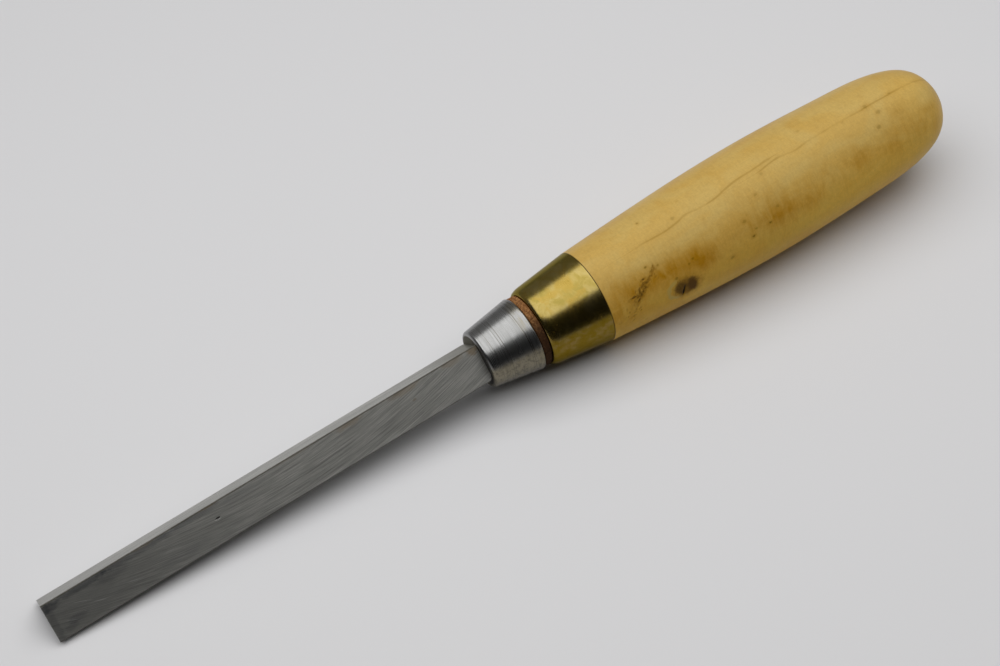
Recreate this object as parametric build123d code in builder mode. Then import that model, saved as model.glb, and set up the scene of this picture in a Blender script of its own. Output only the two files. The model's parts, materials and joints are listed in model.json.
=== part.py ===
from build123d import *
import math
import os

# V parting tool for woodcarving, lying at rest on a bench with its keel up.
# Millimetres, +Z up, +X from the cutting edge to the butt, origin under the
# middle of the tool on the bench. Everything is laid out along the tool's own
# axis, as a distance from the cutting edge, and that axis is tilted so that
# both wings, behind their bevel, and the swell of the handle touch the bench.

# Blade: a folded V of even wall, set a little low at the cutting edge. Its height is that
# of the outside; the wings end square to the wall, so their inner corners stand lower.
BLADE_LENGTH = 116.0
V_ANGLE = 90.0
V_HEIGHT = 6.7
WALL = 2.4
WING_END = 2.5
KEEL_AT_EDGE = 3.4
KEEL_AT_ROOT = 6.25
KEEL_ROUND = 0.15
EDGE_WALL = 0.35
BEVEL_LENGTH = 5.0
RUNOUT_START = 101.0
RUNOUT_END = 112.0
HEEL_ROUND = 1.2
CUT_CLEARANCE = 1.0

# Stem and tang, forged in one with the blade and hidden in the handle
STEM_RADIUS = 4.0
TANG_LENGTH = 60.0
TANG_WIDTH = 5.4
TANG_END_WIDTH = 2.6
TANG_POINT = 0.8
HOLE_EXTRA_DEPTH = 2.0

# Bolster collar, leather washer and ferrule, in the order they slide on. The ferrule's
# rounded shoulder is given as (distance from its front, radius) and ends on its cone.
BOLSTER_LENGTH = 13.2
BOLSTER_FRONT_RADIUS = 7.45
BOLSTER_REAR_RADIUS = 9.6
BOLSTER_FRONT_ROUND = 0.9
BOLSTER_REAR_ROUND = 0.4
WASHER_THICKNESS = 2.15
WASHER_RADIUS = 9.4
WASHER_ROUND = 0.35
FERRULE_LENGTH = 15.9
FERRULE_FRONT_RADIUS = 10.15
FERRULE_REAR_RADIUS = 12.2
FERRULE_WALL = 1.15
FERRULE_HOLE_RADIUS = 4.6
FERRULE_LIP_RADIUS = 9.35
FERRULE_SHOULDER = [(0.65, 10.0), (2.2, 10.434)]

# Handle: visible length of wood, and its swell as (distance from ferrule, radius)
WOOD_LENGTH = 106.75
SWELL = [(27.0, 13.97), (54.0, 14.77), (80.0, 13.98), (95.8, 12.3), (102.8, 9.1)]
FRONT_FLARE = 4.0

bolster_x = BLADE_LENGTH
washer_x = bolster_x + BOLSTER_LENGTH
ferrule_x = washer_x + WASHER_THICKNESS
spigot_x = ferrule_x + FERRULE_WALL
wood_x = ferrule_x + FERRULE_LENGTH
butt_x = wood_x + WOOD_LENGTH
tang_end_x = ferrule_x + TANG_LENGTH
half_angle = math.radians(V_ANGLE / 2)
flank_slope = math.tan(half_angle)
wall_above = 1 / math.sin(half_angle)
end_in, end_drop = WING_END * math.cos(half_angle), WING_END * math.sin(half_angle)


def keel(x):
    """Height of the keel above the tool's axis."""
    return KEEL_AT_EDGE + (KEEL_AT_ROOT - KEEL_AT_EDGE) * x / BLADE_LENGTH


# Outline of the wood behind the ferrule, as (distance from the edge, radius)
wood_outline = Spline(
    [
        (wood_x, FERRULE_REAR_RADIUS),
        *[(wood_x + along, radius) for along, radius in SWELL],
        (butt_x, 0),
    ],
    tangents=[Vector(1, 0, 0).rotate(Axis.Z, FRONT_FLARE), (0, -1, 0)],
)

# Rest pose: a line from the wings' inner corners, behind the bevel, touches the swell from below
toe_x = BEVEL_LENGTH
toe_drop = V_HEIGHT + WALL * math.sin(half_angle) - keel(toe_x)
OUTLINE_SAMPLES = 400
outline = [wood_outline @ (i / OUTLINE_SAMPLES) for i in range(OUTLINE_SAMPLES + 1)]
tilt = math.atan(max((p.Y - toe_drop) / (p.X - toe_x) for p in outline))
run, rise = math.cos(tilt), math.sin(tilt)
front = -KEEL_AT_EDGE * rise
back = max(p.X * run + p.Y * rise for p in outline)
tool = Plane(
    origin=(-(front + back) / 2, 0, toe_drop * run - toe_x * rise),
    x_dir=(run, 0, rise),
    z_dir=(-rise, 0, run),
)
lengthwise = Plane(origin=tool.origin, x_dir=tool.x_dir, z_dir=-tool.y_dir)
tool_axis = Axis(tool.origin, tool.x_dir)


def across(x):
    """Plane across the tool at a distance from the cutting edge, its y up."""
    centre = tool.from_local_coords(Vector(x, 0, 0))
    return Plane(origin=centre, x_dir=tool.y_dir, z_dir=tool.x_dir)


def vee(top, bottom):
    """Corners of a triangle with its point up, at the V's angle."""
    half = (top - bottom) * flank_slope
    return (0, top), (-half, bottom), (half, bottom)


def folded(top):
    """Corners of the V's outside: keel, wings, and the wings' ends square to the wall."""
    peak, left, right = vee(top, top - V_HEIGHT)
    foot = left[1] - end_drop
    return peak, left, (left[0] + end_in, foot), (right[0] - end_in, foot), right


def tang_width(x):
    """Side of the square tang, tapered from the ferrule's front."""
    return TANG_WIDTH + (TANG_END_WIDTH - TANG_WIDTH) * (x - ferrule_x) / TANG_LENGTH


# Blade, stem and tang: one forging
lean = Vector(BLADE_LENGTH, 0, KEEL_AT_ROOT - KEEL_AT_EDGE)
blade_direction = tool.from_local_coords(lean) - tool.origin
trough = [
    (0, keel(0) - EDGE_WALL * wall_above),
    (BEVEL_LENGTH, keel(BEVEL_LENGTH) - WALL * wall_above),
    (RUNOUT_START, keel(RUNOUT_START) - WALL * wall_above),
    (RUNOUT_END, keel(RUNOUT_END) - V_HEIGHT - end_drop),
]
with BuildPart() as blade:
    with BuildSketch(across(0)):
        Polygon(*folded(keel(0)), align=None)
    extrude(amount=lean.length, dir=blade_direction.normalized())
    long_edges = blade.edges().sort_by(SortBy.LENGTH)[-5:]
    fillet(long_edges.sort_by(Axis.Z)[-1], KEEL_ROUND)
    heel_edges = blade.faces().sort_by(tool_axis)[-1].edges()
    fillet(heel_edges.sort_by(Axis.Z)[:3], HEEL_ROUND)
    for x, top in trough:
        with BuildSketch(across(x)):
            Polygon(*vee(top, keel(x) - V_HEIGHT - end_drop - CUT_CLEARANCE), align=None)
    loft(ruled=True, mode=Mode.SUBTRACT)
    with BuildSketch(across(bolster_x)):
        Circle(STEM_RADIUS)
    extrude(amount=ferrule_x - bolster_x)
    for x in (ferrule_x, tang_end_x):
        with BuildSketch(across(x)):
            Rectangle(tang_width(x), tang_width(x))
    loft()
    chamfer(blade.faces().sort_by(tool_axis)[-1].edges(), TANG_POINT)

# Bolster collar: turned cone, pressed on the stem behind the V
with BuildPart() as bolster:
    with BuildSketch(lengthwise):
        with BuildLine():
            Polyline(
                (bolster_x, STEM_RADIUS),
                (bolster_x, BOLSTER_FRONT_RADIUS),
                (washer_x, BOLSTER_REAR_RADIUS),
                (washer_x, STEM_RADIUS),
                close=True,
            )
        make_face()
    revolve(axis=tool_axis)
    rims = bolster.edges().filter_by(GeomType.CIRCLE).sort_by(SortBy.RADIUS)
    fillet(rims[-1], BOLSTER_REAR_ROUND)
    front_face = bolster.faces().sort_by(tool_axis)[0]
    fillet(front_face.edges().sort_by(SortBy.RADIUS)[-1], BOLSTER_FRONT_ROUND)

# Leather washer between the collar and the ferrule
with BuildPart() as washer:
    with BuildSketch(across(washer_x)):
        Circle(WASHER_RADIUS)
        Circle(STEM_RADIUS, mode=Mode.SUBTRACT)
    extrude(amount=WASHER_THICKNESS)
    rims = washer.edges().filter_by(GeomType.CIRCLE).sort_by(SortBy.RADIUS)
    fillet(rims[-2:], WASHER_ROUND)

# Ferrule: tapered brass cup with a rounded shoulder, driven over the handle's spigot
shoulder = [(ferrule_x + along, radius) for along, radius in FERRULE_SHOULDER]
cone_direction = Vector(FERRULE_LENGTH, FERRULE_REAR_RADIUS - FERRULE_FRONT_RADIUS)
with BuildPart() as ferrule:
    with BuildSketch(lengthwise):
        with BuildLine():
            Spline(
                [(ferrule_x, FERRULE_LIP_RADIUS), *shoulder],
                tangents=[(0, 1), cone_direction],
            )
            Polyline(
                shoulder[-1],
                (wood_x, FERRULE_REAR_RADIUS),
                (wood_x, FERRULE_REAR_RADIUS - FERRULE_WALL),
                (spigot_x, FERRULE_FRONT_RADIUS - FERRULE_WALL),
                (spigot_x, FERRULE_HOLE_RADIUS),
                (ferrule_x, FERRULE_HOLE_RADIUS),
                (ferrule_x, FERRULE_LIP_RADIUS),
            )
        make_face()
    revolve(axis=tool_axis)

# Handle: turned boxwood with the ferrule's spigot and the tapered tang hole
with BuildPart() as handle:
    with BuildSketch(lengthwise):
        with BuildLine():
            Polyline(
                (butt_x, 0),
                (spigot_x, 0),
                (spigot_x, FERRULE_FRONT_RADIUS - FERRULE_WALL),
                (wood_x, FERRULE_REAR_RADIUS - FERRULE_WALL),
                (wood_x, FERRULE_REAR_RADIUS),
            )
            add(wood_outline)
        make_face()
    revolve(axis=tool_axis)
    for x in (spigot_x, tang_end_x + HOLE_EXTRA_DEPTH):
        with BuildSketch(across(x)):
            Rectangle(tang_width(x), tang_width(x))
    loft(mode=Mode.SUBTRACT)

os.makedirs("parts", exist_ok=True)
pieces = {
    "blade": blade,
    "bolster": bolster,
    "leather_washer": washer,
    "ferrule": ferrule,
    "handle": handle,
}
for name, piece in pieces.items():
    piece.part.label = name
    export_step(piece.part, f"parts/{name}.step")
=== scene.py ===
"""Looks of a woodcarver's V parting tool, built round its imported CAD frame.

Pieces are laid out in tool coordinates, in millimetres: x along the tool's axis from the cutting edge
to the butt, y across the blade, z towards the keel. An angle round the axis is in degrees, 0 at the keel
side and growing towards -y. Each mesh keeps its tool coordinates as an attribute, which its material's
nodes read.
"""

import json
import math

import bpy
import numpy as np
from mathutils import Matrix, Vector


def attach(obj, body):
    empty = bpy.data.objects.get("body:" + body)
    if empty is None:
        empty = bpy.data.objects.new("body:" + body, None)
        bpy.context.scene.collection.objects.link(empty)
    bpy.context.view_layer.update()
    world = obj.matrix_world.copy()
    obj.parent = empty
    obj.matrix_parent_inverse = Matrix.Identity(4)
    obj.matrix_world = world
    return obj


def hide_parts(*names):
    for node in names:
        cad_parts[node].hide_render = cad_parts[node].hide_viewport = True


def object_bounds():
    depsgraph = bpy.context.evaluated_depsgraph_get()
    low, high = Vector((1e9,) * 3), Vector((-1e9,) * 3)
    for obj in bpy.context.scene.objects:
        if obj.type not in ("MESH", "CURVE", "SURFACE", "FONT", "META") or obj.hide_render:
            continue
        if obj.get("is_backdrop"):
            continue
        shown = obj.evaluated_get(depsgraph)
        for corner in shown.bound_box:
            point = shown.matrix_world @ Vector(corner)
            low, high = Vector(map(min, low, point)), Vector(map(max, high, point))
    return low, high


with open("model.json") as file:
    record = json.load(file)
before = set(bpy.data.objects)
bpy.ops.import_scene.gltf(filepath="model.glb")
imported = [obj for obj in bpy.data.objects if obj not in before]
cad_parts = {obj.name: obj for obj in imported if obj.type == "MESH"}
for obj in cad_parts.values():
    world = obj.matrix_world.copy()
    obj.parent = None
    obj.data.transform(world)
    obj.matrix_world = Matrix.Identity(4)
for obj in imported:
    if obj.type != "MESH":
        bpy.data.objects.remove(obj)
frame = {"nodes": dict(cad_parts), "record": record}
cad_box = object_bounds()

MM = 0.001
ROOT2 = math.sqrt(2)
BODY = "root"


# ---------------------------------------------------------------- the tool's frame

def tool_matrix():
    """Tool coordinates to the row frame, from the grip mount's axis and the blade's cutting edge."""
    grip = next(m for m in frame["record"]["mounts"] if m["name"] == "grip")
    along = Vector(grip["axis"]).normalized()
    centre = Vector(grip["pos_m"])
    edge = min((v.co - centre).dot(along) for v in frame["nodes"]["blade"].data.vertices)
    across = Vector((0, 1, 0))
    matrix = Matrix((along, across, along.cross(across))).transposed().to_4x4()
    matrix.translation = centre + along * edge
    return matrix


TOOL = tool_matrix()


def cad_points(node):
    """A CAD node's vertices in tool coordinates."""
    back = TOOL.inverted()
    return np.array([back @ v.co for v in frame["nodes"][node].data.vertices]) / MM


def cad_radii(points):
    """Distance of points from the tool's axis."""
    return np.hypot(points[:, 1], points[:, 2])


def at_station(points, station):
    """The points within a hundredth of a millimetre of a station."""
    return points[np.abs(points[:, 0] - station) < 0.01]


def cad_outline(node, start=-math.inf, least=0.0):
    """Stations past a start, and the radius of a turned CAD node at each, from vertices beyond a radius."""
    points = cad_points(node)
    stations, radii = points[:, 0].round(4), cad_radii(points)
    wanted = (stations >= start) & (radii >= least)
    stations, radii = stations[wanted], radii[wanted]
    order = np.lexsort((-radii, stations))
    stations, first = np.unique(stations[order], return_index=True)
    return stations, radii[order][first]


def extent(node):
    """First and last station of a CAD node."""
    stations = cad_points(node)[:, 0]
    return float(stations.min()), float(stations.max())


# ---------------------------------------------------------------- numbers and noise

def smooth(low, high, value):
    """0 below low, 1 above high, eased between."""
    t = np.clip((value - low) / (high - low), 0, 1)
    return t * t * (3 - 2 * t)


def lattice(cells, seed):
    """A steady random number from 0 to 1 for each whole-numbered cell."""
    h = cells[..., 0] * 374761393 + cells[..., 1] * 668265263 + cells[..., 2] * 2147483647
    h = h + seed * 1274126177
    h = (h ^ (h >> 13)) * 1103515245 & 0x7FFFFFFF
    h = (h ^ (h >> 16)) * 12345677 & 0x7FFFFFFF
    return (h & 0xFFFFFF) / 0xFFFFFF


def noise(points, size, seed):
    """Smooth noise from -1 to 1 at points, its cells size across. size may differ along each axis."""
    p = np.asarray(points) / np.asarray(size)
    cell = np.floor(p).astype(np.int64)
    t = p - cell
    t = t * t * (3 - 2 * t)
    total = np.zeros(p.shape[:-1])
    for corner in np.ndindex(2, 2, 2):
        weight = np.prod(np.where(np.array(corner) == 1, t, 1 - t), axis=-1)
        total += weight * lattice(cell + np.array(corner), seed)
    return total * 2 - 1


def cubic(stations, values, at):
    """Smooth curve through values at growing stations, read at other stations."""
    slopes = np.gradient(values, stations)
    i = np.clip(np.searchsorted(stations, at) - 1, 0, len(stations) - 2)
    step = stations[i + 1] - stations[i]
    t = np.clip((at - stations[i]) / step, 0, 1)
    rest = 1 - t
    return (
        values[i] * rest * rest * (1 + 2 * t)
        + values[i + 1] * t * t * (3 - 2 * t)
        + step * t * rest * (slopes[i] * rest - slopes[i + 1] * t)
    )


def spaced(*spans):
    """Stations across (start, end, step) spans, evenly spaced in each, with no station twice."""
    parts = [np.linspace(a, b, max(1, round((b - a) / step)), endpoint=False) for a, b, step in spans]
    return np.concatenate([*parts, [spans[-1][1]]])


# ---------------------------------------------------------------- meshes

def linked(name, data):
    """A new object of a mesh, camera or light, in the scene."""
    made = bpy.data.objects.new(name, data)
    bpy.context.scene.collection.objects.link(made)
    return made


class Shell:
    """Vertices and faces of one piece, gathered in tool coordinates, with values kept for its material."""

    def __init__(self):
        self.points, self.faces, self.values = [], [], {}
        self.count = 0

    def add(self, rows, inward=False, along=False, caps=(False, False), **values):
        """A grid of closed rows of points. inward turns each row round, for rows whose faces would
        look in. along joins the last row to the first, and caps close the first and last row with a
        fan to its middle."""
        rows = np.asarray(rows, float)
        if inward:
            rows = rows[:, ::-1]
            values = {name: value[:, ::-1] for name, value in values.items()}
        high, wide = rows.shape[:2]
        index = self.count + np.arange(high * wide).reshape(high, wide)
        self.points.append(rows.reshape(-1, 3))
        self.keep(values, high * wide)
        self.count += high * wide
        below = np.vstack([index, index[:1]]) if along else index
        beside = np.hstack([below, below[:, :1]])
        quads = [beside[:-1, :-1], beside[:-1, 1:], beside[1:, 1:], beside[1:, :-1]]
        self.faces += np.stack(quads, -1).reshape(-1, 4).tolist()
        for end, wanted in zip((0, -1), caps):
            if wanted:
                kept = {k: np.asarray(v)[end] for k, v in values.items()}
                self.fan(rows[end], index[end], end == 0, kept)
        return self

    def fan(self, ring, index, first, values):
        """Closes a ring of points with triangles to its middle."""
        self.points.append(ring.mean(0)[None])
        self.keep({k: v.mean(0) for k, v in values.items()}, 1)
        middle = self.count
        self.count += 1
        for a, b in zip(index, np.roll(index, -1)):
            self.faces.append((middle, b, a) if first else (middle, a, b))

    def keep(self, values, count):
        """Values of count points, kept for the piece's attributes."""
        for name, value in values.items():
            value = np.asarray(value, float)
            width = value.size // count
            self.values.setdefault(name, []).append(value.reshape(count, width))

    def build(self, name, node, slot, material, sharp=35):
        """The piece as an object that replaces a CAD node, finished with the given material. The slot is not
        used.
        """
        points = np.concatenate(self.points)
        mesh = bpy.data.meshes.new(name)
        mesh.from_pydata(points * MM, [], self.faces)
        mesh.transform(TOOL)
        for key, parts in {"tool": [points], **self.values}.items():
            data = np.concatenate(parts).astype(np.float32)
            kind = "FLOAT_VECTOR" if data.shape[1] == 3 else "FLOAT"
            attribute = mesh.attributes.new(key, kind, "POINT")
            attribute.data.foreach_set("vector" if data.shape[1] == 3 else "value", data.ravel())
        mesh.polygons.foreach_set("use_smooth", [True] * len(mesh.polygons))
        mesh.set_sharp_from_angle(angle=math.radians(sharp))
        mesh.materials.append(material)
        piece = linked(name, mesh)
        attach(piece, BODY)
        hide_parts(node)
        return piece


def turned(stations, radii, angles, lift=None):
    """Rows of points of a turned surface, lifted off it along its outline's normal."""
    stations, radii = np.asarray(stations, float), np.asarray(radii, float)
    lift = np.zeros((len(stations), len(angles))) if lift is None else lift
    run, rise = np.gradient(stations), np.gradient(radii)
    length = np.hypot(run, rise) + 1e-9
    x = stations[:, None] - lift * (rise / length)[:, None]
    r = radii[:, None] + lift * (run / length)[:, None]
    a = np.radians(angles)[None, :]
    return np.stack([x + 0 * a, -r * np.sin(a), r * np.cos(a)], -1)


def square_ring(station, half, angles):
    """A ring of points round a square of a given half width."""
    a = np.radians(angles)
    r = half / np.maximum(np.abs(np.sin(a)), np.abs(np.cos(a)))
    return np.stack([np.full_like(a, station), -r * np.sin(a), r * np.cos(a)], -1)


def arc(centre, radius, start, end, steps):
    """Points (station, radius) on an arc between two angles in degrees."""
    t = np.radians(np.linspace(start, end, steps))
    return np.stack([centre[0] + radius * np.cos(t), centre[1] + radius * np.sin(t)], -1)


# ---------------------------------------------------------------- material nodes

class Nodes:
    """Node tree of a material or world, built by short calls. An input is a socket, number or colour."""

    def __init__(self, owner, shader, output):
        self.owner = owner
        owner.use_nodes = True
        self.tree = owner.node_tree
        self.tree.nodes.clear()
        self.shader = self.node(shader)
        self.node(output, {"Surface": self.shader.outputs[0]})

    def node(self, kind, inputs=(), **settings):
        made = self.tree.nodes.new("ShaderNode" + kind)
        for key, value in settings.items():
            setattr(made, key, value)
        for key, value in dict(inputs).items():
            self.put(made.inputs[key], value)
        return made

    def put(self, socket, value):
        if isinstance(value, bpy.types.NodeSocket):
            self.tree.links.new(value, socket)
        elif isinstance(value, (tuple, list)) and len(value) == 3 and socket.type == "RGBA":
            socket.default_value = (*value, 1)
        else:
            socket.default_value = value

    def attribute(self, name, output="Vector"):
        return self.node("Attribute", attribute_name=name).outputs[output]

    def value(self, name):
        return self.attribute(name, "Fac")

    def axes(self, vector):
        return self.node("SeparateXYZ", {0: vector}).outputs

    def vector(self, x, y, z):
        return self.node("CombineXYZ", {0: x, 1: y, 2: z}).outputs[0]

    def stretched(self, vector, scales, offset=(0, 0, 0)):
        return self.node("Mapping", {"Vector": vector, "Scale": scales, "Location": offset}).outputs[0]

    def math(self, operation, a, b=0.0, clamp=False):
        return self.node("Math", {0: a, 1: b}, operation=operation, use_clamp=clamp).outputs[0]

    def plus(self, a, b, clamp=False):
        return self.math("ADD", a, b, clamp)

    def minus(self, a, b):
        return self.math("SUBTRACT", a, b)

    def length(self, u, v):
        return self.math("POWER", self.plus(self.times(u, u), self.times(v, v)), 0.5)

    def turn(self, y, z):
        """Angle round the tool's axis in radians, 0 at the keel side and growing towards -y."""
        return self.math("ARCTAN2", self.times(y, -1.0), z)

    def noise(self, vector, scale=1.0, detail=2.0, rough=0.5, distortion=0.0):
        inputs = {"Vector": vector, "Scale": scale, "Detail": detail, "Roughness": rough}
        return self.node("TexNoise", {**inputs, "Distortion": distortion}).outputs["Fac"]

    def drawn(self, vector, scales, detail, rough=0.5, distortion=0.0, offset=(0, 0, 0)):
        """Noise with a scale of its own along each axis."""
        return self.noise(self.stretched(vector, scales, offset), 1.0, detail, rough, distortion)

    def swing(self, noise, amount):
        """Noise moved to lie evenly about 0, and scaled."""
        return self.times(self.minus(noise, 0.5), amount)

    def span(self, value, low, high, start=0.0, end=1.0):
        """A value from low to high, eased onto start to end."""
        inputs = {"Value": value, "From Min": low, "From Max": high, "To Min": start, "To Max": end}
        return self.node("MapRange", inputs, interpolation_type="SMOOTHSTEP").outputs["Result"]

    def far(self, u, v, centre, size):
        """Distance of (u, v) from a centre, 1 at the rim of an ellipse of the given half sizes."""
        du = self.math("DIVIDE", self.minus(u, centre[0]), size[0])
        dv = self.math("DIVIDE", self.minus(v, centre[1]), size[1])
        return self.length(du, dv)

    def spots(self, u, v, places, blur=0.4, shift=0.0):
        """Sum of soft spots, each a centre, half sizes and strength."""
        total = 0.0
        for cu, cv, ru, rv, strength in places:
            away = self.plus(self.far(u, v, (cu, cv), (ru, rv)), shift)
            spot = self.times(self.span(away, 1 + blur, 1 - blur), strength)
            total = self.plus(total, spot, clamp=True)
        return total

    def times(self, *values):
        """Product of values."""
        product = values[0]
        for value in values[1:]:
            product = self.math("MULTIPLY", product, value)
        return product

    def mix(self, share, a, b, blend="MIX"):
        made = self.node("Mix", data_type="RGBA", blend_type=blend)
        for socket, value in zip((made.inputs[0], made.inputs[6], made.inputs[7]), (share, a, b)):
            self.put(socket, value)
        return made.outputs[2]

    def tinted(self, share, colour, tint):
        """A colour multiplied by a tint, over a share of it."""
        return self.mix(share, colour, self.mix(1.0, colour, tint, "MULTIPLY"))

    def layers(self, colour, *coats):
        """Coats of (share, paint) laid over a colour one after the other."""
        for share, paint in coats:
            colour = self.mix(share, colour, paint)
        return colour

    def bump(self, height, distance, after=None):
        """distance is in millimetres, the height's own unit."""
        made = self.node("Bump", {"Height": height, "Distance": distance * MM, "Strength": 1.0})
        if after is not None:
            self.put(made.inputs["Normal"], after)
        return made.outputs[0]

    def finish(self, **inputs):
        for key, value in inputs.items():
            self.put(self.shader.inputs[key.replace("_", " ")], value)
        return self.owner


def material_nodes(name):
    return Nodes(bpy.data.materials.new(name), "BsdfPrincipled", "OutputMaterial")


def low_side(n, turn, start=56, end=72):
    """1 on the side turned down and towards -y, easing to 0. The finishes paint shade, light and darker
    reflections over it.
    """
    return n.times(n.span(turn, math.radians(start), math.radians(end)), n.span(turn, 3.1, 2.6))


# ---------------------------------------------------------------- handle

WOOD_PALE = (0.534, 0.361, 0.106)
WOOD_WARM = (0.529, 0.338, 0.086)
WOOD_AMBER = (0.350, 0.170, 0.006)
# Painted light: tints that brighten the side turned down and take the blue of a pale sheen off it
WOOD_PAINTED_LIGHT = (1.15, 1.11, 0.96)
WOOD_LOW_SIDE_NO_SHEEN = (1.04, 0.98, 0.44)
WOOD_WORN = (1.12, 1.13, 1.14)
WOOD_GLOSS = (1.0, 0.80, 0.42)
WOOD_LINE = (0.270, 0.140, 0.004)
WOOD_TORN = (0.235, 0.115, 0.008)
PIN_OLIVE = (0.140, 0.084, 0.001)
KNOT_RIM = (0.215, 0.105, 0.008)
KNOT_BROWN = (0.125, 0.064, 0.003)
KNOT_RED = (0.078, 0.031, 0.001)
KNOT_BLACK = (0.004, 0.002, 0.001)
KNOT_HALO = (0.470, 0.330, 0.078)

# Amber clouds in the wood: station, angle, half lengths in mm and degrees, strength
CLOUDS = [
    (150, 84, 6, 18, 0.50), (160, 50, 12, 13, 0.20), (153, 54, 9, 20, 0.50),
    (168, 55, 9, 14, 0.58), (174, 64, 4.5, 9, 0.42), (188, 53, 6, 14, 0.30),
    (196, 57, 6, 17, 0.55), (204, 62, 8, 11, 0.22), (214, 58, 10, 13, 0.16), (222, 52, 2.4, 12, 0.36),
    (246, 44, 2.6, 9, 0.30), (236, 30, 2.2, 8, 0.22), (208, 44, 3.0, 7, 0.22),
    (232, 56, 5, 13, 0.24), (240, 60, 5, 15, 0.32), (158, -72, 9, 22, 0.4), (186, -96, 11, 26, 0.5),
    (214, -70, 12, 24, 0.4), (236, -112, 9, 22, 0.5), (176, 158, 12, 26, 0.5), (205, 176, 9, 22, 0.4),
    (229, 140, 11, 24, 0.5), (163, -150, 9, 20, 0.4), (246, 176, 5, 26, 0.3), (219, -168, 8, 15, 0.4),
]
PALE_CLOUDS = [
    (167, 16, 9, 16, 0.30), (154, 8, 6, 22, 0.2), (205, 22, 11, 14, 0.15), (222, 20, 12, 14, 0.15),
]
# The growth line that runs along the top, and its branch, as stations and angles
GROWTH_LINE = [
    (160, 16.2), (162, 15.8), (169, 16.5), (172, 15.4), (175, 13), (178, 14.2), (181, 15), (184, 13.8),
    (188, 10.6), (192, 9.2), (196, 8.5), (201, 7.2),
]
GROWTH_BRANCH = [
    (197, 13.6), (200, 12), (203, 11), (207, 13), (212, 11.4), (217, 10.6), (222, 10), (230, 10), (238, 9),
    (246, 6.4), (251, 4.5),
]
BACK_LINE = [(151, 170), (166, 176), (184, 171), (203, 178), (226, 172), (245, 177), (252, 176)]
# Pin knots: station, angle, radius in mm, darkness
PINS = [
    (159.6, 38.5, 0.36, 0.8), (162.5, 43, 0.30, 0.6), (165.6, 66, 0.42, 0.7), (171.1, 55, 0.30, 0.7),
    (169.8, 58, 0.28, 0.6), (164.5, -9, 0.34, 0.6), (175.7, -6, 0.30, 0.4), (171.9, 9, 0.55, 0.35),
    (187.8, 66, 0.36, 1.0), (181.0, 76, 0.48, 0.55), (193.0, 62, 0.34, 1.0), (192.5, 31, 0.42, 0.35),
    (196.8, 16.5, 0.50, 0.3), (186.8, 48, 0.50, 0.45), (189.0, 60, 0.30, 0.6), (196.3, 51, 0.45, 0.4),
    (230.2, 9, 0.60, 0.45), (238.0, 8, 0.42, 0.35), (232.2, 21, 0.62, 0.4), (230.1, 35, 0.62, 0.45),
    (222.7, 12, 0.34, 0.25), (178.0, 26, 0.24, 0.3), (212, -4, 0.5, 0.2), (183, -120, 0.5, 0.7),
    (207, -95, 0.4, 0.6), (226, -140, 0.55, 0.7), (169, 150, 0.45, 0.5), (214, 165, 0.4, 0.6),
    (240, -64, 0.4, 0.5), (194, 134, 0.35, 0.5), (157, -105, 0.35, 0.6),
]
# Torn grain as runs of chips: first and last station and angle, how many, their spread, length and
# depth in mm
TEARS = [
    (161.6, 43.5, 158.6, 52.0, 24, 0.36, 0.55, 0.18), (158.6, 51.5, 155.8, 60.0, 28, 0.42, 0.70, 0.28),
    (156.4, 60.5, 154.4, 66.5, 24, 0.45, 0.80, 0.32), (155.0, 66.0, 151.8, 78.0, 16, 0.60, 0.65, 0.10),
    (153.6, 74.0, 152.8, 86.0, 12, 0.80, 0.60, 0.08), (161.2, 50.0, 159.8, 58.0, 8, 0.40, 0.40, 0.08),
    (150.6, 82.5, 147.9, 85.5, 8, 0.16, 0.60, 0.05), (154.0, 96.5, 156.6, 101.0, 7, 0.50, 0.45, 0.09),
    (155.2, 76.0, 151.2, 90.0, 16, 0.75, 0.55, 0.11), (162.4, 40.5, 161.0, 46.0, 6, 0.25, 0.35, 0.10),
]
# The bruised wood round a chip reaches this many times as far as the chip
SCAR_GROWTH = 2.6
KNOT = (167.2, 80.8)
# The wood's mesh is fine up to past the knot, and closes over the butt's last length
FINE_END = 172.5
BUTT_LENGTH = 14
# The square hole behind the tang's point, and its half width at its end
HOLE_BEYOND = 2.0
HOLE_END_HALF = 1.3
# A value that keeps a mark away from the wood's hidden faces
NOWHERE = 9.0
LINE_WIDTH = 0.14
JOINT_ROUND = 0.12
JOINT_DARK = (0.020, 0.012, 0.002)


def around(angles, centre, radius):
    """Distance in millimetres round a turned surface from an angle."""
    turn = (np.asarray(angles) - centre + 180) % 360 - 180
    return np.radians(turn) * radius


def blobs(x, a, spots):
    """Sum of soft spots given as station, angle, half lengths in mm and degrees, and strength."""
    total = np.zeros(np.broadcast(x, a).shape)
    for station, angle, long, wide, strength in spots:
        turn = (a - angle + 180) % 360 - 180
        total += strength * np.exp(-(((x - station) / long) ** 2 + (turn / wide) ** 2))
    return total


def line_distance(x, a, r, line):
    """Signed distance in mm from a line of (station, angle) points, growing past the line's ends."""
    stations, angles = np.array(line).T
    beside = around(a, cubic(stations, angles, x), r)
    beyond = np.maximum(0, np.maximum(stations[0] - x, x - stations[-1])) * 0.5
    return np.where(beside < 0, beside - beyond, beside + beyond)


def chips():
    """The torn grain's chips, scattered along their runs: station, angle, half length, half width,
    turn and depth."""
    draw = np.random.default_rng(12)
    for x0, a0, x1, a1, count, spread, long, deep in TEARS:
        for share in np.linspace(0, 1, count):
            x, a = x0 + (x1 - x0) * share, a0 + (a1 - a0) * share
            x, a = x + draw.normal(0, spread), a + draw.normal(0, spread) * 4.5
            size = long * draw.uniform(0.45, 1.1)
            wide, turn = size * draw.uniform(0.25, 0.5), draw.normal(42, 22)
            yield x, a, size, wide, turn, deep * draw.uniform(0.35, 1.0)


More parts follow.
